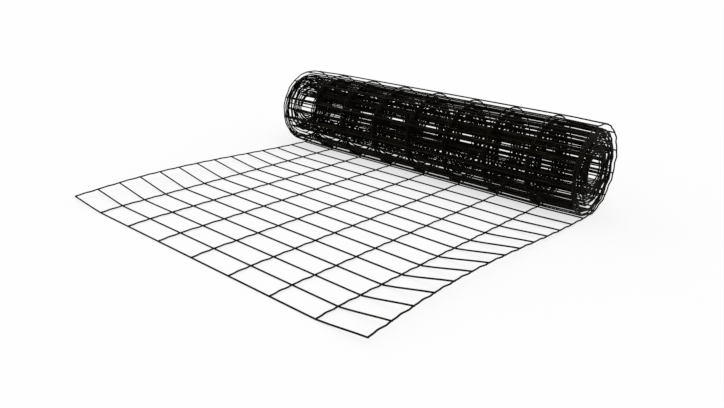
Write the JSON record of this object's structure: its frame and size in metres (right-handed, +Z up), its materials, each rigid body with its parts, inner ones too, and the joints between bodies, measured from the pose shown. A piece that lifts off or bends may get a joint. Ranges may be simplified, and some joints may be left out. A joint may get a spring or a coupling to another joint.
{
  "type": "roll of wire fencing",
  "caption": "Part-unrolled roll of coated welded wire garden fence: tight roll with an open core, loose outer turn and flat run of crimped line wires and straight stays.",
  "frame": {"origin": "on the floor, below the middle of the part's bounding box", "axes": "+X along the roll's core, -Y towards the free edge of the flat run, +Z up from the floor"},
  "size_m": [0.8048, 0.7734, 0.1957],
  "materials": {
    "coated_wire": "satin",
    "wound_wire": "satin"
  },
  "bodies": {
    "root": {"flat_run": "coated_wire", "loose_back": "coated_wire", "loose_top": "coated_wire", "loose_front": "coated_wire", "loose_under": "coated_wire", "wound_roll": "wound_wire"}
  },
  "joints": []
}
